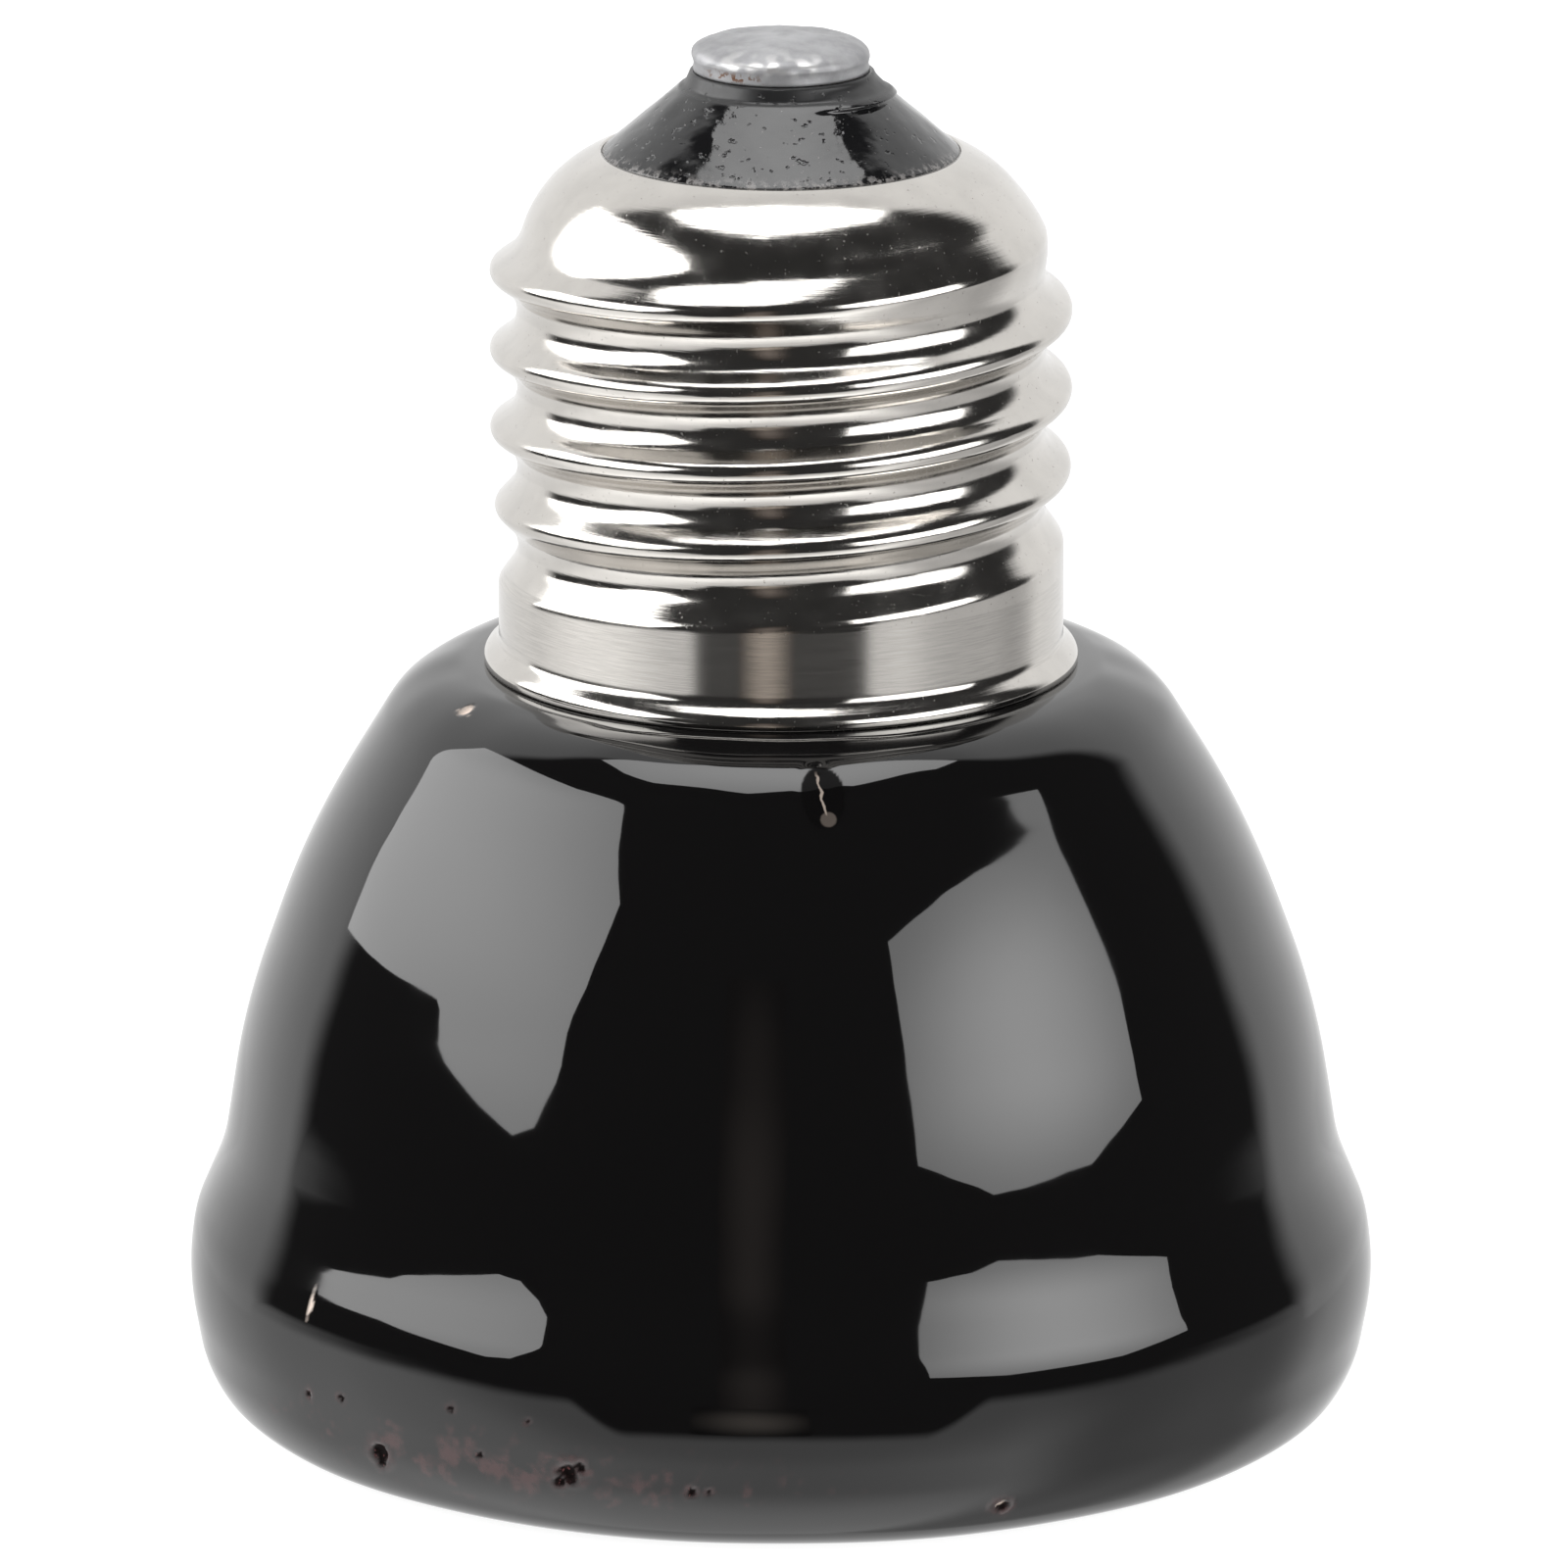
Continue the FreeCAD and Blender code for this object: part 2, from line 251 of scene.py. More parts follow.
def rounded_section(corners, step=0.01 * MM):
    """Points of a half section, a step apart: straight runs between the corners, each corner
    replaced by an arc of its bend that touches both runs. Returns the distance run, the
    radius and the height."""
    points = [np.array(corner[:2], float) for corner in corners]
    path = [points[0][None]]
    for index in range(1, len(points) - 1):
        corner, bend = points[index], corners[index][2]
        back = points[index - 1] - corner
        ahead = points[index + 1] - corner
        back /= np.linalg.norm(back)
        ahead /= np.linalg.norm(ahead)
        if bend == 0:
            path.append(corner[None])
            continue
        half = math.acos(np.clip(back @ ahead, -1, 1)) / 2
        middle = corner + (back + ahead) / np.linalg.norm(back + ahead) * bend / math.sin(half)
        first = corner + back * bend / math.tan(half) - middle
        last = corner + ahead * bend / math.tan(half) - middle
        from_angle = math.atan2(first[1], first[0])
        sweep = (math.atan2(last[1], last[0]) - from_angle + math.pi) % (2 * math.pi) - math.pi
        count = max(8, int(abs(sweep) * bend / step))
        angle = from_angle + sweep * np.linspace(0, 1, count)
        path.append(middle + bend * np.stack([np.cos(angle), np.sin(angle)], 1))
    path.append(points[-1][None])
    path = np.concatenate(path)
    run = np.concatenate([[0], np.cumsum(np.linalg.norm(np.diff(path, axis=0), axis=1))])
    return run, path[:, 0], path[:, 1]


def carried_round(radius, height, turn):
    """A half section carried round the axis: the point at a turn right of the front is radius
    times (sin turn, -cos turn), at the height. Radius and height are rows, or rows by turns."""
    radius, height = (np.broadcast_to(rows if rows.ndim == 2 else rows[:, None], (len(rows), len(turn)))
                      for rows in (np.asarray(radius), np.asarray(height)))
    return np.stack([radius * np.sin(turn), -radius * np.cos(turn), height], axis=2)


def outward(points):
    """Unit normals of a grid of points, from its rows' and turns' differences."""
    up = np.gradient(points, axis=0)
    across = np.roll(points, -1, axis=1) - np.roll(points, 1, axis=1)
    normal = np.cross(across, up)
    return normal / np.maximum(np.linalg.norm(normal, axis=2, keepdims=True), 1e-12)


def added(name, data):
    """A new object in the scene."""
    thing = bpy.data.objects.new(name, data)
    bpy.context.scene.collection.objects.link(thing)
    return thing


def skin(name, points, poles=(None, None), ring=False, marks=None, finishes=(), finish_rows=None):
    """A mesh piece from a grid of points, rows by turns. The turns always close. The rows
    close too if ring is set, and otherwise each end closes on its pole. Each mark is a number
    on every point, and finish_rows says which of the finishes each row of faces has."""
    rows, turns = points.shape[:2]
    vertices = points.reshape(-1, 3)
    index = np.arange(rows * turns).reshape(rows, turns)
    right = np.roll(index, -1, axis=1)
    upper = np.roll(index, -1, axis=0)
    upper_right = np.roll(right, -1, axis=0)
    last = rows if ring else rows - 1
    quads = np.stack([index, right, upper_right, upper], axis=2)[:last].reshape(-1, 4)
    faces = [quads]
    corner_counts = [np.full(len(quads), 4)]
    for pole, edge, way in ((poles[0], 0, -1), (poles[1], rows - 1, 1)):
        if pole is not None:
            tip = np.full(turns, len(vertices))
            vertices = np.concatenate([vertices, np.array(pole, float)[None]])
            pair = [index[edge], right[edge]] if way > 0 else [right[edge], index[edge]]
            faces.append(np.stack(pair + [tip], axis=1))
            corner_counts.append(np.full(turns, 3))
    counts = np.concatenate(corner_counts)
    loops = np.concatenate([block.reshape(-1) for block in faces])
    mesh = bpy.data.meshes.new(name)
    mesh.vertices.add(len(vertices))
    mesh.vertices.foreach_set("co", vertices.astype(np.float32).reshape(-1))
    mesh.loops.add(len(loops))
    mesh.loops.foreach_set("vertex_index", loops.astype(np.int32))
    mesh.polygons.add(len(counts))
    mesh.polygons.foreach_set("loop_start", np.concatenate([[0], np.cumsum(counts)[:-1]]).astype(np.int32))
    mesh.update(calc_edges=True)
    mesh.polygons.foreach_set("use_smooth", np.ones(len(counts), bool))
    for finish in finishes:
        mesh.materials.append(finish)
    if finish_rows is not None:
        slots = np.zeros(len(counts), np.int32)
        slots[:len(quads)] = np.repeat(np.asarray(finish_rows)[:last], turns)
        mesh.polygons.foreach_set("material_index", slots)
    for mark, values in (marks or {}).items():
        attribute = mesh.attributes.new(mark, "FLOAT", "POINT")
        padded = np.zeros(len(vertices), np.float32)
        padded[:rows * turns] = values.reshape(-1)
        attribute.data.foreach_set("value", padded)
    if mesh.validate():
        raise RuntimeError(f"the mesh of {name} has faulty faces")
    return added(name, mesh)


# Materials


def cleared(owner):
    """The node tree of a material or a world, emptied."""
    owner.use_nodes = True
    owner.node_tree.nodes.clear()
    return owner.node_tree


def new_finish(name):
    """An empty node material with its shader and output. Returns the material, its tree and
    the shader node."""
    material = bpy.data.materials.new(name)
    tree = cleared(material)
    output = tree.nodes.new("ShaderNodeOutputMaterial")
    shader = tree.nodes.new("ShaderNodeBsdfPrincipled")
    tree.links.new(shader.outputs["BSDF"], output.inputs["Surface"])
    return material, tree, shader


def put(tree, socket, value):
    """Links an output to a socket, or sets the socket's own value."""
    if isinstance(value, bpy.types.NodeSocket):
        tree.links.new(value, socket)
    elif value is not None:
        socket.default_value = value


def sums(tree, operation, first, second=None, third=None, clamp=False):
    """A math node's result."""
    node = tree.nodes.new("ShaderNodeMath")
    node.operation = operation
    node.use_clamp = clamp
    for socket, value in zip(node.inputs, (first, second, third)):
        put(tree, socket, value)
    return node.outputs[0]


def spread(tree, value, low, high, to_low=0.0, to_high=1.0):
    """A value mapped smoothly from one range to another."""
    node = tree.nodes.new("ShaderNodeMapRange")
    node.interpolation_type = "SMOOTHSTEP"
    for name, entry in (("Value", value), ("From Min", low), ("From Max", high),
                        ("To Min", to_low), ("To Max", to_high)):
        put(tree, node.inputs[name], entry)
    return node.outputs["Result"]


def tint(tree, share, first, second):
    """A blend of two colours."""
    node = tree.nodes.new("ShaderNodeMix")
    node.data_type = "RGBA"
    put(tree, node.inputs["Factor"], share)
    put(tree, node.inputs[6], first)
    put(tree, node.inputs[7], second)
    return node.outputs[2]


def place(tree, stretch=(1, 1, 1)):
    """The surface point on the object, stretched."""
    coordinates = tree.nodes.new("ShaderNodeTexCoord")
    mapping = tree.nodes.new("ShaderNodeMapping")
    mapping.inputs["Scale"].default_value = stretch
    tree.links.new(coordinates.outputs["Object"], mapping.inputs["Vector"])
    return mapping.outputs["Vector"]


def cloud(tree, where, size, detail=2.0, rough=0.5):
    """Noise whose blotches have the given size in metres."""
    node = tree.nodes.new("ShaderNodeTexNoise")
    tree.links.new(where, node.inputs["Vector"])
    node.inputs["Scale"].default_value = 1 / size
    node.inputs["Detail"].default_value = detail
    node.inputs["Roughness"].default_value = rough
    return node.outputs["Fac"]


def mark(tree, name):
    """A mark that the piece carries on its points."""
    node = tree.nodes.new("ShaderNodeAttribute")
    node.attribute_name = name
    return node.outputs["Fac"]


def relief(tree, shader, height, depth, under=None):
    """Fine relief of a given depth, over any that is there."""
    node = tree.nodes.new("ShaderNodeBump")
    node.inputs["Distance"].default_value = depth
    tree.links.new(height, node.inputs["Height"])
    if under is not None:
        tree.links.new(under, node.inputs["Normal"])
    tree.links.new(node.outputs["Normal"], shader.inputs["Normal"])
    return node.outputs["Normal"]


def glaze_finish(colours):
    """Glossy black glaze with dark pits, fired clay round them, bare clay in the chips, faint smears,
    and a dull drop. On the drop a painted highlight in the chip colour: a pale thin line down it
    and a pale dot near its foot."""
    material, tree, shader = new_finish("glaze")
    where = place(tree)
    pit, halo, dull, chip, smear = (mark(tree, name) for name in ("pit", "halo", "dull", "chip", "smear"))
    grain = cloud(tree, where, 0.25 * MM, 3.0)
    blotch = spread(tree, cloud(tree, where, 1.3 * MM, 3.0), 0.45, 0.62)
    haze = sums(tree, "MULTIPLY", smear, blotch, clamp=True)
    ring = sums(tree, "MULTIPLY", halo, spread(tree, cloud(tree, where, 0.5 * MM, 3.0), 0.35, 0.65, 0.2, 0.9))
    stain = sums(tree, "MULTIPLY", sums(tree, "MAXIMUM", haze, ring), 0.42)
    colour = tint(tree, stain, tuple(colours.glaze), tuple(colours.clay))
    colour = tint(tree, pit, colour, (0.006, 0.004, 0.004, 1))
    fleck = sums(tree, "MULTIPLY", pit, spread(tree, grain, 0.6, 0.68))
    colour = tint(tree, fleck, colour, tuple(colours.clay))
    # Painted highlight: a thin pale line down the drop, in the chip colour.
    line = sums(tree, "MULTIPLY", mark(tree, "line_reach"),
                spread(tree, sums(tree, "ABSOLUTE", mark(tree, "line")), 0.3, 1.1, 0.4, 0.0))
    # Painted highlight: a pale dot near the drop's foot, in the chip colour.
    painted_highlight_dot = spread(tree, mark(tree, "painted_highlight_dot"), HIGHLIGHT_DOT_REACH - 1.15, HIGHLIGHT_DOT_REACH - 0.85, 0.0, 0.10)
    # Bare clay in the chips, and the painted highlights on the drop.
    chips_and_painted_highlights = sums(tree, "MAXIMUM", sums(tree, "MAXIMUM", chip, line), painted_highlight_dot)
    colour = tint(tree, chips_and_painted_highlights, colour, tuple(colours.chip))
    tree.links.new(colour, shader.inputs["Base Color"])
    gloss = spread(tree, cloud(tree, where, 6 * MM), 0.35, 0.75, 0.022, 0.05)
    bare = sums(tree, "MAXIMUM", sums(tree, "MULTIPLY", pit, 0.3), sums(tree, "MULTIPLY", chip, 0.7))
    rough = sums(tree, "ADD", bare, sums(tree, "MULTIPLY", stain, 0.2))
    tree.links.new(sums(tree, "ADD", gloss, rough), shader.inputs["Roughness"])
    shine = spread(tree, sums(tree, "MAXIMUM", pit, dull), 0.0, 1.0, 0.5, 0.02)
    tree.links.new(shine, shader.inputs["Specular IOR Level"])
    shader.inputs["IOR"].default_value = 1.56
    relief(tree, shader, cloud(tree, where, 2.6 * MM, 1.0), 0.006 * MM)
    return material


def dimmed(colour, share):
    """A colour's share, opaque."""
    return tuple(channel * share for channel in colour[:3]) + (1,)


def mirror_finish(colours):
    """Bright nickel plating, a little hazy, with fine grit specks and faint lines round it."""
    material, tree, shader = new_finish("bright_nickel")
    where = place(tree)
    shade = spread(tree, cloud(tree, where, 2.5 * MM, 4.0), 0.3, 0.75)
    grit = spread(tree, cloud(tree, where, 0.16 * MM, 2.0), 0.68, 0.74)
    colour = tint(tree, shade, tuple(colours.nickel), dimmed(colours.nickel, 0.9))
    colour = tint(tree, sums(tree, "MULTIPLY", grit, 0.5), colour, (0.16, 0.145, 0.13, 1))
    tree.links.new(colour, shader.inputs["Base Color"])
    haze = spread(tree, cloud(tree, where, 1.4 * MM, 5.0), 0.35, 0.75, 0.10, 0.17)
    tree.links.new(sums(tree, "ADD", haze, sums(tree, "MULTIPLY", grit, 0.2)), shader.inputs["Roughness"])
    shader.inputs["Metallic"].default_value = 1
    lines = cloud(tree, place(tree, (1, 1, 30)), 3.0 * MM, 4.0, 0.6)
    under = relief(tree, shader, lines, 0.004 * MM)
    relief(tree, shader, cloud(tree, where, 0.45 * MM, 3.0), 0.0022 * MM, under)
    return material


def brushed_finish(colours):
    """The satin skirt, with fine lines round it from the lathe that blur it up and down."""
    material, tree, shader = new_finish("brushed_nickel")
    where = place(tree, (1, 1, 40))
    lines = cloud(tree, where, 2.0 * MM, 6.0, 0.7)
    colour = tint(tree, spread(tree, lines, 0.3, 0.7), tuple(colours.nickel), dimmed(colours.nickel, 0.82))
    tree.links.new(colour, shader.inputs["Base Color"])
    tree.links.new(spread(tree, lines, 0.3, 0.7, 0.11, 0.15), shader.inputs["Roughness"])
    shader.inputs["Metallic"].default_value = 1
    shader.inputs["Anisotropic"].default_value = 0.92
    shader.inputs["Anisotropic Rotation"].default_value = 0.25
    tangent = tree.nodes.new("ShaderNodeTangent")
    tangent.direction_type = "RADIAL"
    tangent.axis = "Z"
    tree.links.new(tangent.outputs["Tangent"], shader.inputs["Tangent"])
    relief(tree, shader, lines, 0.0008 * MM)
    return material


def glass_finish(colours):
    """Black vitreous glass with pits, dust and a scuffed edge."""
    material, tree, shader = new_finish("black_glass")
    where = place(tree)
    speck = spread(tree, cloud(tree, where, 0.22 * MM, 2.0), 0.70, 0.76)
    worn = spread(tree, cloud(tree, where, 0.3 * MM, 4.0), 0.45, 0.62)
    scuff = sums(tree, "MULTIPLY", mark(tree, "scuff"), worn)
    dust = sums(tree, "MAXIMUM", sums(tree, "MULTIPLY", speck, 0.6), scuff)
    colour = tint(tree, sums(tree, "MULTIPLY", dust, 0.5), tuple(colours.glass), (0.35, 0.33, 0.32, 1))
    tree.links.new(colour, shader.inputs["Base Color"])
    dull = sums(tree, "MULTIPLY", sums(tree, "ADD", dust, mark(tree, "dull")), 0.3)
    haze = spread(tree, cloud(tree, where, 1.2 * MM, 4.0), 0.4, 0.7, 0.06, 0.13)
    tree.links.new(sums(tree, "ADD", haze, dull), shader.inputs["Roughness"])
    shader.inputs["IOR"].default_value = 1.56
    craters = spread(tree, cloud(tree, place(tree, (1, 1, 1.6)), 0.5 * MM, 2.0), 0.25, 0.37)
    under = relief(tree, shader, craters, 0.025 * MM)
    relief(tree, shader, cloud(tree, where, 0.3 * MM, 3.0), 0.004 * MM, under)
    return material


def solder_finish(colours):
    """Dull grey solder, mottled, with bright worn patches on the front of the rim that carry a painted
    highlight, and a few rusty specks.
    """
    material, tree, shader = new_finish("solder")
    where = place(tree)
    mottle = spread(tree, cloud(tree, where, 1.6 * MM, 6.0, 0.6), 0.3, 0.72)
    colour = tint(tree, mottle, dimmed(colours.solder, 0.7), tuple(colours.solder))
    # The worn mark pales and smooths the front of the rim: worn solder carrying a painted highlight.
    worn = mark(tree, "worn")
    colour = tint(tree, sums(tree, "MULTIPLY", worn, 0.7), colour, (0.75, 0.74, 0.73, 1))
    fleck = spread(tree, cloud(tree, where, 0.25 * MM, 3.0), 0.52, 0.6)
    rust = sums(tree, "MULTIPLY", mark(tree, "rust"), fleck)
    colour = tint(tree, rust, colour, (0.16, 0.07, 0.03, 1))
    tree.links.new(colour, shader.inputs["Base Color"])
    tree.links.new(spread(tree, worn, 0.0, 1.0, 0.55, 0.3), shader.inputs["Roughness"])
    shader.inputs["Metallic"].default_value = 0.7
    relief(tree, shader, cloud(tree, where, 0.35 * MM, 5.0, 0.6), 0.02 * MM)
    return material


def plain_finish(name, light, dark, grain, rough, metal=0.0, depth=0.02, stretch=(1, 1, 1)):
    """A two-tone finish with grain of one size, for the parts inside."""
    material, tree, shader = new_finish(name)
    tone = cloud(tree, place(tree, stretch), grain, 5.0, 0.6)
    tree.links.new(tint(tree, spread(tree, tone, 0.3, 0.7), light + (1,), dark + (1,)),
                   shader.inputs["Base Color"])
    tree.links.new(spread(tree, tone, 0.3, 0.7, rough, rough * 1.3), shader.inputs["Roughness"])
    shader.inputs["Metallic"].default_value = metal
    relief(tree, shader, tone, depth * MM)
    return material


# Pieces


def body_grid(sizes):
    """The body's half section carried round the axis, with rows and turns close together where
    the glaze has flaws. Returns the points, the turns, the runs and the side's runs by height."""
    edge = sizes.seat_height - 0.02 * MM
    corners = [(0, 0, 0)] + [tuple(np.array(corner) * MM) for corner in SIDE] + [
        (sizes.seat_radius, edge, 0),
        (sizes.seat_radius, sizes.seat_height, 0),
        (sizes.neck_radius, sizes.seat_height, 0.3 * MM),
        (sizes.neck_radius, sizes.seat_height + sizes.neck_height, 1.0 * MM),
        (0, sizes.seat_height + sizes.neck_height, 0),
    ]
    run, radius, height = rounded_section(corners)
    top = np.argmax(height >= edge)
    side_run, side_height = run[:top], height[:top]
    band = np.interp([1.0 * MM, 9.4 * MM, 31.2 * MM, 34.3 * MM], side_height, side_run)
    rows = graded(0, run[-1], 0.75 * MM, 0.16 * MM, [tuple(band[:2]), tuple(band[2:])], 1.5 * MM)[1:-1]
    turns = np.radians(graded(-180, 180, 1.5, 0.36, [(-66, 28)], 6)[:-1])
    points = carried_round(np.interp(rows, run, radius), np.interp(rows, run, height), turns)
    return points, turns, rows, side_run, side_height


def ceramic_body(sizes, finish):
    """The glazed bell: its grid is moved along its normals, out by slow waves in the glaze, a
    drop and a nub under the lip, and in by pits, a chip and a scratch. Each is a soft-edged
    spot measured across the turn and along the run. A thin pale line down the drop and a pale dot
    near its foot are marked for a painted highlight."""
    points, turns, rows, side_run, side_height = body_grid(sizes)
    normal = outward(points)
    radius = np.hypot(points[..., 0], points[..., 1])
    side = smooth((rows - side_run[-1] * 0.3) / (2 * MM)) * smooth((side_run[-1] - rows) / (0.8 * MM))
    side = side[:, None] * (points[..., 2] > 0.05 * MM)
    move = waves(points, 11 * MM, 3) * 0.012 * MM * side
    shoulder = smooth((points[..., 2] - 31.8 * MM) / (1.6 * MM))
    move += waves(points, 6 * MM, 8) * 0.022 * MM * side * shoulder
    marks = {name: np.zeros(points.shape[:2]) for name in ("pit", "halo", "chip")}
    rag = np.clip(waves(points, 0.7 * MM, 5), -1.5, 1.5)

    def spot(turn, height, wide, tall, ragged=0.12):
        """Distance from a spot's middle, 1 on its ragged edge."""
        across = (turns[None] - math.radians(turn)) * radius / (wide * MM)
        along = (rows[:, None] - np.interp(height * MM, side_height, side_run)) / (tall * MM)
        return np.hypot(across, along) * (1 + ragged * rag)

    for turn, height, size, depth in PITS:
        far = spot(turn, height, size, size)
        move -= depth * MM * np.exp(-far ** 4) * side
        move += 0.18 * depth * MM * np.exp(-((far - 1.35) / 0.35) ** 2) * side
        marks["pit"] = np.maximum(marks["pit"], smooth((1.25 - far) / 0.5))
        marks["halo"] = np.maximum(marks["halo"], smooth((2.6 - far) / 1.6))
    far = spot(*CHIP)
    move -= 0.15 * MM * np.exp(-far ** 6)
    marks["chip"] = np.maximum(marks["chip"], smooth(1.6 - far))
    far = spot(*SCRATCH)
    move -= 0.05 * MM * np.exp(-far ** 4)
    marks["chip"] = np.maximum(marks["chip"], smooth(1.8 - far))
    marks["chip"] = np.maximum(marks["chip"], smooth(1.6 - spot(*SPECK)))
    marks["smear"] = np.exp(-spot(*SMEAR) ** 4)
    drop = spot(*DROP)
    move += 0.04 * MM * smooth(1.4 - drop)
    marks["dull"] = smooth((1.1 - drop) / 0.12)
    # Painted highlight: a pale dot near the drop's foot, as a distance that grows toward its middle.
    marks["painted_highlight_dot"] = HIGHLIGHT_DOT_REACH - np.clip(spot(*HIGHLIGHT_DOT), 0, HIGHLIGHT_DOT_REACH)
    # Painted highlight: a thin pale line down the drop, its distance across in half widths, shown only near
    # it.
    up = points[..., 2] / MM
    line_turn = HIGHLIGHT_LINE_TURN + HIGHLIGHT_LINE_LEAN * (HIGHLIGHT_LINE_TOP - up) + 0.12 * waves(points, 0.6 * MM, 15)
    across = np.radians(np.degrees(turns)[None] - line_turn) * radius / (HIGHLIGHT_LINE_HALF_WIDTH * MM)
    marks["line"] = np.clip(across, -1.5 * HIGHLIGHT_LINE_REACH, 1.5 * HIGHLIGHT_LINE_REACH)
    shown = smooth((HIGHLIGHT_LINE_TOP - up) / 0.2) * smooth((up - HIGHLIGHT_LINE_BOTTOM) / 0.2)
    marks["line_reach"] = shown * (np.abs(across) < HIGHLIGHT_LINE_REACH)
    move += 0.09 * MM * np.exp(-spot(*NUB) ** 2)
    points = points + normal * move[..., None]
    points[..., 2] = np.maximum(points[..., 2], 0)
    top = sizes.seat_height + sizes.neck_height
    piece = skin("glazed_body", points, poles=((0, 0, 0), (0, 0, top)), marks=marks, finishes=[finish])
    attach(piece, BODY)
    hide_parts("ceramic_body")
    return piece


def shell_core(sizes, height, inset):
    """Radius of the shell without its thread: the root cylinder, and above the dome's centre
    its arc, both inset by the wall's depth."""
    rise = np.maximum(height - sizes.dome_height, 0)
    bend = sizes.dome_radius - inset
    return sizes.root_radius - sizes.dome_radius + np.sqrt(np.maximum(bend ** 2 - rise ** 2, 0))


def thread_radius(sizes, height, turn, inset):
    """Radius of the rolled thread at a height and a turn. The share of a pitch above the
    nearest lower crest gives the place across the section: narrow crest arcs and wide root
    arcs, joined by the straight flank that touches both. The groove deepens from the skirt,
    the first crest rises more slowly, and the last crest fades into the dome."""
    pitch = sizes.pitch
    angle = np.degrees(turn) - 90
    along = (height - (sizes.crest_height - pitch)) / pitch - angle / 360
    below = np.floor(along)
    share = along - below
    groove_turn = 360 * (below + 1) + angle
    core = shell_core(sizes, height, inset)
    deep = smooth(groove_turn / GROOVE_RUN)
    floor = (sizes.skirt_radius - inset) * (1 - deep) + core * deep
    crest_turn = 360 * np.where(share <= 0.5, below, below + 1) + angle
    grown = np.clip(crest_turn / CREST_RUN, 0, 1)
    full = sizes.skirt_radius + (sizes.crest_radius - sizes.skirt_radius) * grown
    rise = (full - sizes.root_radius) * (1 - smooth((crest_turn - FADE_START) / FADE_RUN))
    crest = np.where(crest_turn <= 0, sizes.skirt_radius, shell_core(sizes, height, 0) + rise)
    depth = np.maximum(crest - (floor + inset), 1e-9)
    offset = np.minimum(share, 1 - share) * pitch
    bends = sizes.crest_bend + sizes.root_bend
    flank = np.sqrt(pitch ** 2 / 4 + (bends - depth) ** 2 - bends ** 2)
    slope = np.arctan2(bends, flank) - np.arctan2(bends - depth, pitch / 2)
    crest_bend = max(sizes.crest_bend - inset, 0.01 * MM)
    root_bend = bends - crest_bend
    crest_end = crest_bend * np.sin(slope)
    over = depth - crest_bend + np.sqrt(np.maximum(crest_bend ** 2 - offset ** 2, 0))
    under = root_bend - np.sqrt(np.maximum(root_bend ** 2 - (pitch / 2 - offset) ** 2, 0))
    between = depth - crest_bend * (1 - np.cos(slope)) - (offset - crest_end) * np.tan(slope)
    section = np.where(offset <= crest_end, over, between)
    section = np.where(offset >= pitch / 2 - root_bend * np.sin(slope), under, section)
    flat = crest - (floor + inset) <= 1e-6
    return np.where(flat, floor, floor + section)


def shell_side(sizes, inset, turns, step):
    """Radius and height of one face of the shell, from the lip up to the dome's rim: a flared
    lip and a plain skirt as a rounded section, then the thread by height, then the dome's arc."""
    seat = sizes.seat_height
    lip, skirt = sizes.lip_radius - inset, sizes.skirt_radius - inset
    run, radius, height = rounded_section([
        (lip - 0.05 * MM, seat + 0.02 * MM, 0),
        (lip, seat + 0.36 * MM, 0.12 * MM),
        (lip - 0.16 * MM, seat + 0.62 * MM, 0.12 * MM),
        (skirt, seat + 1.15 * MM, 0.5 * MM),
        (skirt, seat + 3.0 * MM, 0),
    ])
    count = 26
    place_on = np.linspace(0, run[-1], count)
    low_radius = np.repeat(np.interp(place_on, run, radius)[:, None], len(turns), axis=1)
    low_height = np.interp(place_on, run, height)
    climb = 2.9 * MM
    mid_height = np.arange(seat + 3.1 * MM, sizes.dome_height + climb, step)
    mid_radius = thread_radius(sizes, mid_height[:, None], turns[None], inset)
    bend = sizes.dome_radius - inset
    centre = sizes.root_radius - sizes.dome_radius
    last = math.acos((sizes.rim_radius - centre) / bend)
    angle = np.linspace(math.asin(climb / bend), last, count)[:-1]
    high_height = sizes.dome_height + bend * np.sin(angle)
    high_radius = centre + bend * np.cos(angle)
    core = shell_core(sizes, high_height, inset)
    lift = thread_radius(sizes, high_height[:, None], turns[None], inset) - core[:, None]
    fading = smooth((sizes.dome_height + 4.6 * MM - high_height) / (1.2 * MM))
    high_radius = high_radius[:, None] + lift * fading[:, None]
    rim = sizes.dome_height + bend * math.sin(angle[-1] + (angle[1] - angle[0]))
    heights = np.concatenate([low_height, mid_height, high_height, [rim]])
    radii = np.concatenate([low_radius, mid_radius, high_radius, np.full((1, len(turns)), sizes.rim_radius)])
    return radii, heights


def screw_shell(sizes, bright, brushed):
    """The rolled shell: its outer face going up and its inner face coming down, closed at the
    lip and at the rim."""
    turns = np.radians(np.linspace(-180, 180, TURN_COUNT + 1)[:-1])
    outer_radius, outer_height = shell_side(sizes, 0, turns, 0.115 * MM)
    inner_radius, inner_height = shell_side(sizes, sizes.wall, turns, 0.23 * MM)
    radii = np.concatenate([outer_radius, inner_radius[::-1]])
    heights = np.concatenate([outer_height, inner_height[::-1]])
    finish_rows = np.zeros(len(heights), int)
    skirt = (heights > sizes.seat_height + 1.0 * MM) & (heights < sizes.seat_height + 4.3 * MM)
    finish_rows[skirt & (np.arange(len(heights)) < len(outer_height))] = 1
    points = carried_round(radii, heights, turns)
    piece = skin("nickel_shell", points, ring=True, finishes=[bright, brushed], finish_rows=finish_rows)
    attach(piece, BODY)
    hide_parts("screw_shell")
    return piece


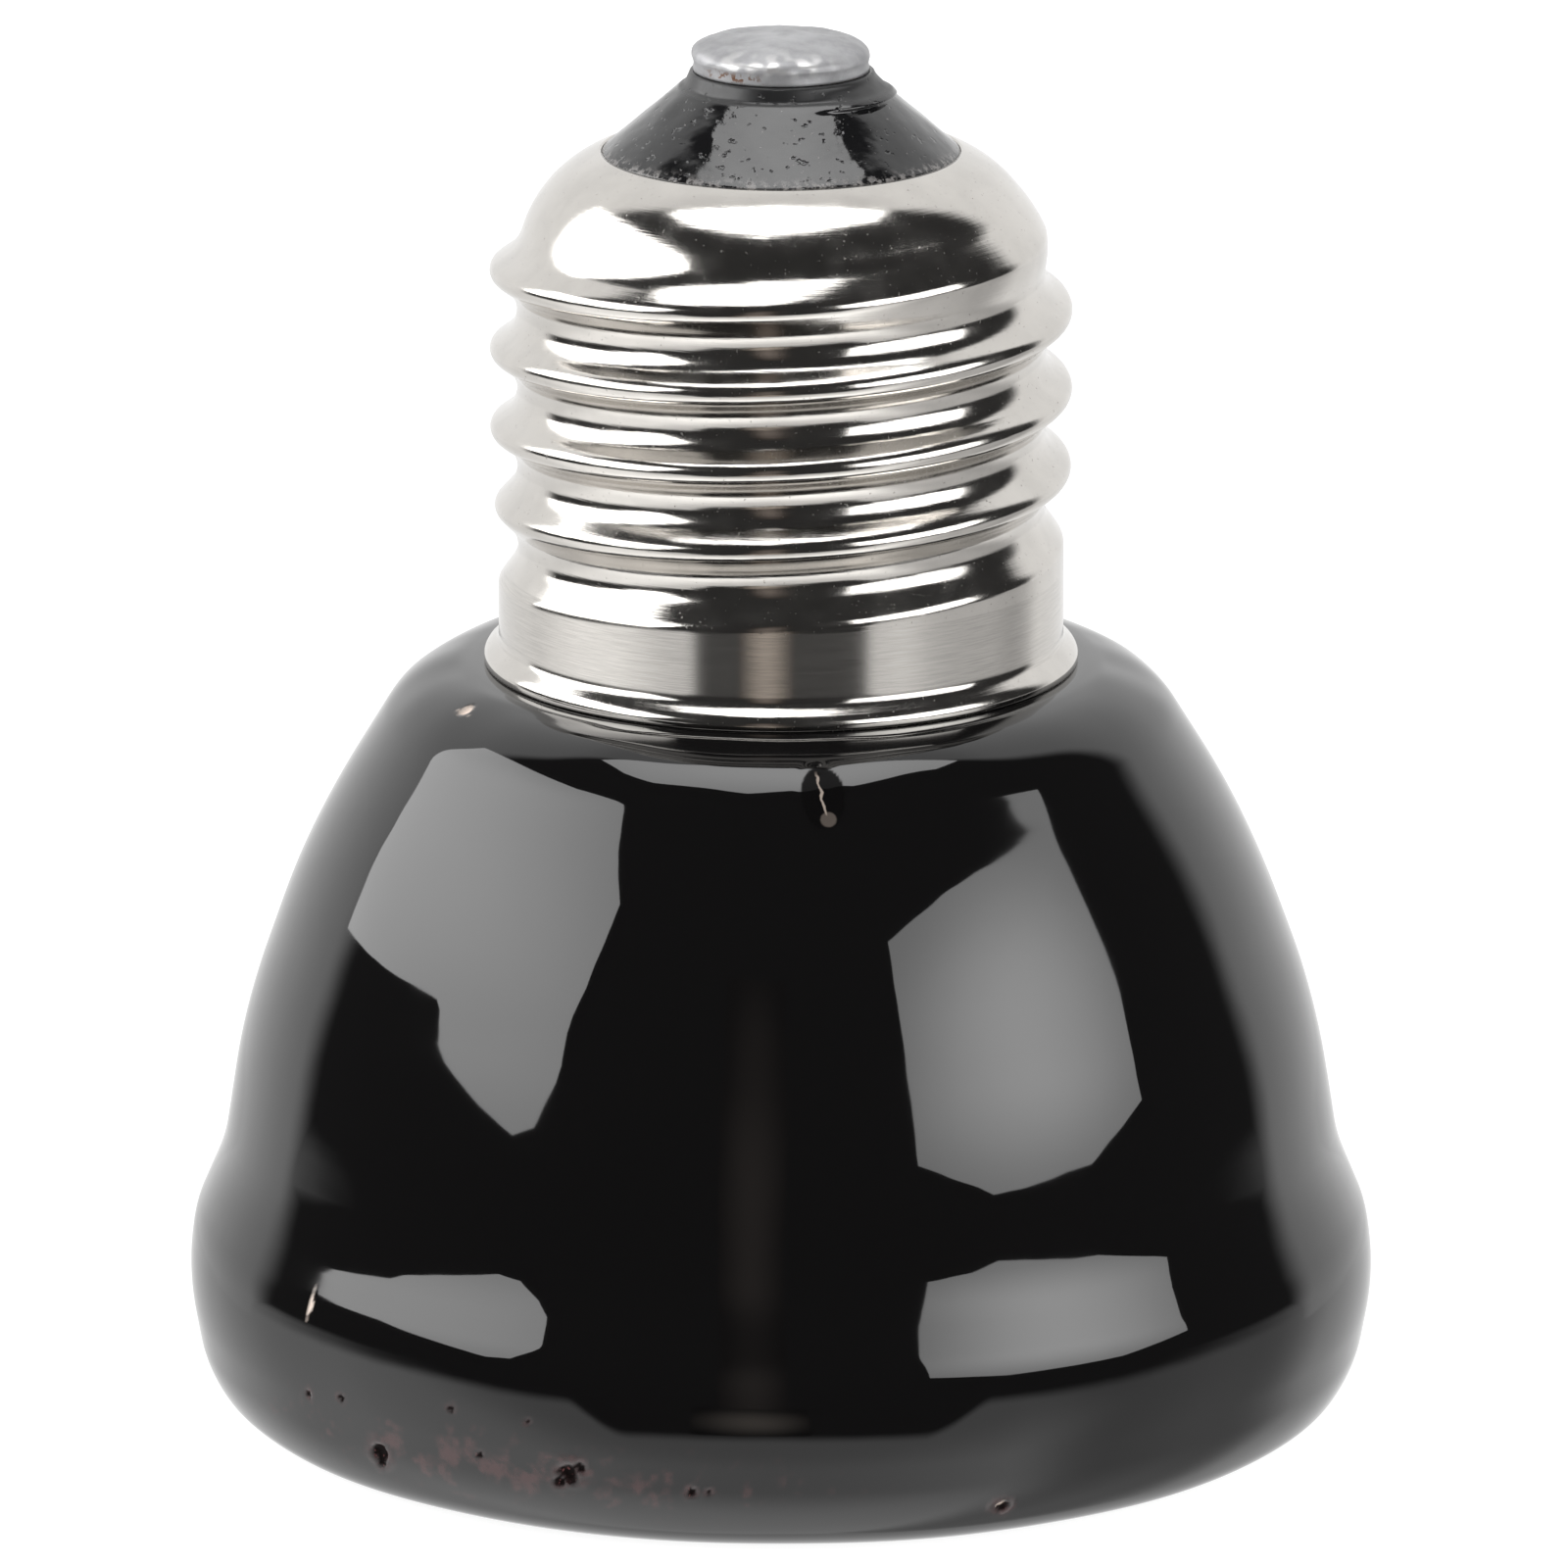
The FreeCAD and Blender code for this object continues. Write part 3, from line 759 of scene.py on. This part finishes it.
def glass_insulator(sizes, finish):
    """The glass cone and collar, carried round the axis. On the right the collar bulges out
    and down into a small flap, and the skin has slight waves and a scuffed rim."""
    rim_height = sizes.dome_height + math.sqrt(
        sizes.dome_radius ** 2 - (sizes.rim_radius - sizes.root_radius + sizes.dome_radius) ** 2)
    foot = rim_height + sizes.cone_height
    top = foot + sizes.collar_height
    bore = 1.22 * MM
    rim = sizes.rim_radius - 0.02 * MM
    inner = sizes.collar_radius - 0.4 * MM
    brim = top + 0.3 * MM
    run, radius, height = rounded_section([
        (bore, rim_height - 3.2 * MM, 0),
        (10.6 * MM, rim_height - 2.3 * MM, 0),
        (10.0 * MM, rim_height - 1.5 * MM, 0),
        (rim, rim_height - 0.4 * MM, 0),
        (rim, rim_height - 0.05 * MM, 0.04 * MM),
        (sizes.cone_top_radius, foot, 0.12 * MM),
        (sizes.collar_radius + 0.05 * MM, foot + 0.12 * MM, 0.12 * MM),
        (sizes.collar_radius - 0.22 * MM, brim, 0.05 * MM),
        (inner, brim, 0),
        (inner, top, 0),
        (bore, top, 0),
    ])
    turns = np.radians(np.linspace(-180, 180, TURN_COUNT + 1)[:-1])
    rows = graded(0, run[-1], 0.5 * MM, 0.1 * MM, [(13.4 * MM, 19.8 * MM)], 1 * MM)
    radius, height = np.interp(rows, run, radius), np.interp(rows, run, height)
    points = carried_round(radius, height, turns)
    normal = outward(points)
    shown = smooth((rows - 12.6 * MM) / (0.8 * MM)) * smooth((foot - 0.05 * MM - height) / (0.2 * MM))
    move = waves(points, 2.2 * MM, 11) * 0.010 * MM + waves(points, 0.6 * MM, 12) * 0.0015 * MM
    points = points + normal * (move * shown[:, None])[..., None]
    side = np.exp(-((np.degrees(turns) - 64) / 36) ** 4)
    outside = (radius > sizes.collar_radius - 0.35 * MM) & (height > foot - 0.6 * MM)
    flap = smooth((height - foot + 0.36 * MM) / (0.2 * MM))
    flap *= 1 - 0.75 * smooth((height - foot) / (0.6 * MM))
    stretch = 1 + 0.5 * MM / radius * outside * flap
    points[..., :2] *= 1 + ((stretch - 1)[:, None] * side[None])[..., None]
    scuff = np.exp(-((height - rim_height) / (0.22 * MM)) ** 2)
    dull = outside * smooth((height - foot + 0.1 * MM) / (0.15 * MM))
    marks = {"scuff": np.repeat(scuff[:, None], len(turns), axis=1),
             "dull": np.repeat(dull[:, None], len(turns), axis=1)}
    piece = skin("black_glass", points, ring=True, marks=marks, finishes=[finish])
    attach(piece, BODY)
    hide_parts("glass_insulator")
    return piece


def contact_solder(sizes, finish):
    """The solder button: a foot that widens to the edge, then a flattened round top where
    radius and rise obey a power of 2.5, moved by uneven lumps."""
    edge = sizes.contact_top - 1.08 * MM
    foot = sizes.contact_top - 1.66 * MM
    bow = np.linspace(0, math.pi / 2, 60)[:-1]
    rise = sizes.contact_top - edge
    under, beside = 14, 5
    radius = [np.linspace(0.4, 3.9, under) * MM, np.linspace(3.96, 4.06, beside) * MM]
    height = [np.full(under, foot), np.linspace(foot + 0.02 * MM, edge - 0.08 * MM, beside)]
    radius = np.concatenate(radius + [sizes.contact_radius * np.cos(bow) ** (2 / 2.5)])
    height = np.concatenate(height + [edge + rise * np.sin(bow) ** (2 / 2.5)])
    turns = np.radians(np.linspace(-180, 180, SOLDER_TURN_COUNT + 1)[:-1])
    points = carried_round(radius, height, turns)
    normal = outward(points)
    shown = smooth((height - foot - 0.05 * MM) / (0.3 * MM))[:, None]
    lump = waves(points, 3.0 * MM, 21) * 0.04 + waves(points, 0.9 * MM, 22) * 0.007
    points = points + normal * (np.minimum(lump - 0.06, 0.0) * MM * shown)[..., None]
    points[..., 2] = np.minimum(points[..., 2], sizes.contact_top)
    # A ragged band on the front of the rim, marked worn: worn solder carrying a painted highlight.
    front = np.exp(-((np.degrees(turns) + 8) / 40) ** 4)[None]
    front = front * np.exp(-((height - edge - 0.35 * MM) / (0.4 * MM)) ** 2)[:, None]
    ragged = smooth(waves(points, 0.9 * MM, 23) * 0.5 + 0.4)
    low = np.exp(-((height - edge + 0.3 * MM) / (0.2 * MM)) ** 2)[:, None]
    marks = {"worn": front * ragged, "rust": low * np.exp(-((np.degrees(turns) + 34) / 22) ** 4)[None]}
    piece = skin("contact_button", points, poles=((0, 0, height[0]), (0, 0, sizes.contact_top)),
                 marks=marks, finishes=[finish])
    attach(piece, BODY)
    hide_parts("contact_solder")
    return piece


# Stage


def toward(azimuth, elevation):
    """The direction at an azimuth right of the front and an elevation, in degrees."""
    turn, rise = math.radians(azimuth), math.radians(elevation)
    return Vector((math.sin(turn) * math.cos(rise), -math.cos(turn) * math.cos(rise), math.sin(rise)))


def soft_light(name, azimuth, elevation, distance, outline, strength, fade=0.0, colour=(1, 1, 1)):
    """A glowing panel that faces the object, brighter in the middle by the fade. Its outline
    runs through the tangents of the angles across and up from its middle."""
    mesh = bpy.data.meshes.new(name)
    corners = [(across * distance, up * distance, 0) for across, up in outline]
    width, height = (max(abs(corner[axis]) for corner in corners) for axis in (0, 1))
    mesh.from_pydata(corners, [], [tuple(range(len(corners)))])
    panel = added(name, mesh)
    way = toward(azimuth, elevation)
    panel.location = Vector((0, 0, 0.03)) + way * distance
    panel.rotation_mode = "QUATERNION"
    panel.rotation_quaternion = way.to_track_quat("Z", "Y")
    material = bpy.data.materials.new(name)
    tree = cleared(material)
    output = tree.nodes.new("ShaderNodeOutputMaterial")
    glow = tree.nodes.new("ShaderNodeEmission")
    glow.inputs["Color"].default_value = tuple(colour) + (1,)
    length = tree.nodes.new("ShaderNodeVectorMath")
    length.operation = "LENGTH"
    tree.links.new(place(tree, (1 / width, 1 / height, 0)), length.inputs[0])
    level = spread(tree, length.outputs["Value"], 0.0, 1.3, strength * (1 + fade), strength * (1 - fade))
    tree.links.new(level, glow.inputs["Strength"])
    tree.links.new(glow.outputs[0], output.inputs["Surface"])
    mesh.materials.append(material)
    panel.visible_camera = False
    panel.visible_shadow = False
    return panel


def surroundings():
    """A white backdrop behind the object and a dark room in front of it. Below the horizon it
    is what the object mirrors of the floor: white on all sides, but in front only where the
    view of it is steep."""
    world = bpy.data.worlds.new("studio")
    bpy.context.scene.world = world
    tree = cleared(world)
    output = tree.nodes.new("ShaderNodeOutputWorld")
    back = tree.nodes.new("ShaderNodeBackground")
    coordinates = tree.nodes.new("ShaderNodeTexCoord")
    split = tree.nodes.new("ShaderNodeSeparateXYZ")
    tree.links.new(coordinates.outputs["Generated"], split.inputs[0])
    x, y, z = split.outputs
    level = sums(tree, "SQRT", sums(tree, "ADD", sums(tree, "MULTIPLY", x, x), sums(tree, "MULTIPLY", y, y)))
    divisor = sums(tree, "ADD", level, 0.02)
    backward = sums(tree, "DIVIDE", y, divisor)
    behind = spread(tree, backward, 0.40, 0.56)
    above = spread(tree, z, -0.26, -0.2)
    ceiling = spread(tree, z, 0.80, 0.90, 1.0, 0.85)
    white = sums(tree, "MULTIPLY", sums(tree, "MULTIPLY", behind, above), ceiling)
    edge = spread(tree, backward, -0.86, -0.74, -0.38, -0.13)
    low = spread(tree, sums(tree, "SUBTRACT", z, edge), -0.05, 0.05, 1.0, 0.0)
    glow = sums(tree, "MULTIPLY", spread(tree, z, -0.97, -0.5, 1.8, 1.3),
                spread(tree, sums(tree, "SUBTRACT", backward, z), -0.5, 0.0, 0.62, 1.0))
    sideways = sums(tree, "DIVIDE", x, divisor)
    right = spread(tree, sideways, 0.72, 0.95, 1.0, 0.45)
    far_back = spread(tree, backward, 0.0, 0.5, 1.0, 0.72)
    aside = sums(tree, "MULTIPLY", right, far_back)
    floor = sums(tree, "MULTIPLY", low, sums(tree, "MULTIPLY", glow, aside))
    room = sums(tree, "ADD", sums(tree, "MAXIMUM", white, floor), 0.035)
    path = tree.nodes.new("ShaderNodeLightPath")
    camera_ray = path.outputs["Is Camera Ray"]
    strength = sums(tree, "ADD", sums(tree, "MULTIPLY", camera_ray, 1.0),
                    sums(tree, "MULTIPLY", sums(tree, "SUBTRACT", 1.0, camera_ray), room))
    tree.links.new(strength, back.inputs["Strength"])
    back.inputs["Color"].default_value = (1, 1, 1, 1)
    tree.links.new(back.outputs[0], output.inputs["Surface"])


def pale_floor():
    """A plain white floor that glows evenly and takes the object's soft shade. The object
    mirrors the surroundings below the horizon in its place."""
    mesh = bpy.data.meshes.new("floor")
    half = 3.0
    corners = [(-half, -half), (half, -half), (half, half), (-half, half)]
    mesh.from_pydata([corner + (-0.02 * MM,) for corner in corners], [], [(0, 1, 2, 3)])
    floor = added("floor", mesh)
    material = bpy.data.materials.new("floor")
    tree = cleared(material)
    output = tree.nodes.new("ShaderNodeOutputMaterial")
    glow = tree.nodes.new("ShaderNodeEmission")
    glow.inputs["Strength"].default_value = 0.93
    paint = tree.nodes.new("ShaderNodeBsdfDiffuse")
    paint.inputs["Color"].default_value = (0.25, 0.25, 0.25, 1)
    both = tree.nodes.new("ShaderNodeAddShader")
    tree.links.new(glow.outputs[0], both.inputs[0])
    tree.links.new(paint.outputs[0], both.inputs[1])
    tree.links.new(both.outputs[0], output.inputs["Surface"])
    mesh.materials.append(material)
    floor.visible_glossy = False


def camera():
    """A long lens, 0.7 m from the object and 15 degrees above it."""
    data = bpy.data.cameras.new("camera")
    data.sensor_width = 36
    data.lens = 353.45
    data.shift_x = 3 / 1600
    data.clip_start = 0.05
    eye = added("camera", data)
    eye.location = (0, -0.67615, 0.20964)
    eye.rotation_euler = (math.radians(75), 0, 0)
    bpy.context.scene.camera = eye


# Add-on


class EMITTER_OT_body(bpy.types.Operator):
    """Build the glazed ceramic body"""

    bl_idname = "emitter.body"
    bl_label = "Glazed body"

    def execute(self, context):
        ceramic_body(context.scene.emitter_sizes, glaze_finish(context.scene.emitter_colours))
        return {"FINISHED"}


class EMITTER_OT_shell(bpy.types.Operator):
    """Build the nickel screw shell"""

    bl_idname = "emitter.shell"
    bl_label = "Screw shell"

    def execute(self, context):
        colours = context.scene.emitter_colours
        screw_shell(context.scene.emitter_sizes, mirror_finish(colours), brushed_finish(colours))
        return {"FINISHED"}


class EMITTER_OT_contact(bpy.types.Operator):
    """Build the glass insulator and the soldered contact"""

    bl_idname = "emitter.contact"
    bl_label = "Glass and contact"

    def execute(self, context):
        colours = context.scene.emitter_colours
        glass_insulator(context.scene.emitter_sizes, glass_finish(colours))
        contact_solder(context.scene.emitter_sizes, solder_finish(colours))
        return {"FINISHED"}


class EMITTER_OT_inside(bpy.types.Operator):
    """Finish the parts inside: eyelet, cement, coil, leads, sleeves and ferrules"""

    bl_idname = "emitter.inside"
    bl_label = "Parts inside"

    def execute(self, context):
        finishes = {
            "contact_eyelet": plain_finish(
                "plated_brass", (0.62, 0.52, 0.36), (0.5, 0.4, 0.26), 0.6 * MM, 0.3, 1.0),
            "basing_cement": plain_finish(
                "cement", (0.55, 0.52, 0.46), (0.4, 0.38, 0.33), 0.5 * MM, 0.8, depth=0.1),
            "heating_coil": plain_finish(
                "heating_wire", (0.36, 0.34, 0.32), (0.2, 0.18, 0.17), 0.8 * MM, 0.45, 1.0),
        }
        wire = plain_finish("lead_wire", (0.6, 0.58, 0.55), (0.48, 0.46, 0.44), 0.5 * MM, 0.3, 1.0)
        weave = plain_finish("fibre_sleeve", (0.8, 0.78, 0.72), (0.6, 0.57, 0.5), 0.25 * MM, 0.8, depth=0.08)
        crimp = plain_finish("crimp", (0.55, 0.54, 0.52), (0.4, 0.39, 0.38), 0.7 * MM, 0.35, 1.0)
        for side in ("centre", "shell"):
            finishes[side + "_lead"] = wire
            finishes[side + "_sleeve"] = weave
            finishes[side + "_ferrule"] = crimp
        for name, finish in finishes.items():
            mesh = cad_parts[name].data
            mesh.materials.clear()
            mesh.materials.append(finish)
        return {"FINISHED"}


class EMITTER_OT_stage(bpy.types.Operator):
    """Set the camera, the floor, the lights and the surroundings"""

    bl_idname = "emitter.stage"
    bl_label = "Stage"

    def execute(self, context):
        camera()
        pale_floor()
        surroundings()
        soft_light("right_softbox", 56, 18.5, 0.7, [
            (-0.53, -0.2), (-0.24, -0.32), (0.2, -0.33),
            (0.52, -0.21), (0.5, 0.34), (-0.45, 0.36)], 4.0, 0.35)
        soft_light("left_softbox", -84, 27, 0.7, [
            (-0.78, -0.34), (0.0, -0.24), (0.5, -0.34), (0.6, -0.28),
            (0.63, 0.05), (0.6, 0.28), (0.4, 0.36), (-0.7, 0.36)], 4.2, 0.15)
        soft_light("top_softbox", 0, 89, 0.7, [
            (-0.52, 0.24), (-0.5, 0.0), (-0.42, -0.14), (-0.12, -0.36),
            (0.17, -0.25), (0.33, -0.11), (0.47, 0.03), (0.47, 0.24)], 3.9, 0.12)
        soft_light("front_strip", -6, 5, 0.9, [
            (-0.12, -0.5), (0.12, -0.5), (0.12, 0.5), (-0.12, 0.5)], 0.13, 0.8, (1.0, 0.86, 0.78))
        soft_light("low_strip", -6, -15, 0.8, [
            (-0.19, -0.12), (0.19, -0.12), (0.19, 0.12), (-0.19, 0.12)], 0.31, 1.0, (1.0, 0.88, 0.78))
        context.scene.view_settings.view_transform = "Standard"
        return {"FINISHED"}


class EMITTER_PT_panel(bpy.types.Panel):
    """Sizes, colours and steps of the heat emitter"""

    bl_label = "Heat emitter"
    bl_idname = "EMITTER_PT_panel"
    bl_space_type = "VIEW_3D"
    bl_region_type = "UI"
    bl_category = "Heat emitter"

    def draw(self, context):
        for group in (context.scene.emitter_sizes, context.scene.emitter_colours):
            column = self.layout.column()
            for name in group.__annotations__:
                column.prop(group, name)
        for step in STEPS:
            self.layout.operator(step.bl_idname)


STEPS = (EMITTER_OT_body, EMITTER_OT_shell, EMITTER_OT_contact, EMITTER_OT_inside, EMITTER_OT_stage)
CLASSES = (EmitterSizes, EmitterColours) + STEPS + (EMITTER_PT_panel,)


def register():
    for entry in CLASSES:
        bpy.utils.register_class(entry)
    bpy.types.Scene.emitter_sizes = PointerProperty(type=EmitterSizes)
    bpy.types.Scene.emitter_colours = PointerProperty(type=EmitterColours)


def unregister():
    del bpy.types.Scene.emitter_colours
    del bpy.types.Scene.emitter_sizes
    for entry in reversed(CLASSES):
        bpy.utils.unregister_class(entry)


def main():
    register()
    bpy.ops.emitter.body()
    bpy.ops.emitter.shell()
    bpy.ops.emitter.contact()
    bpy.ops.emitter.inside()
    bpy.ops.emitter.stage()
    bpy.context.view_layer.update()


if __name__ == "__main__":
    main()
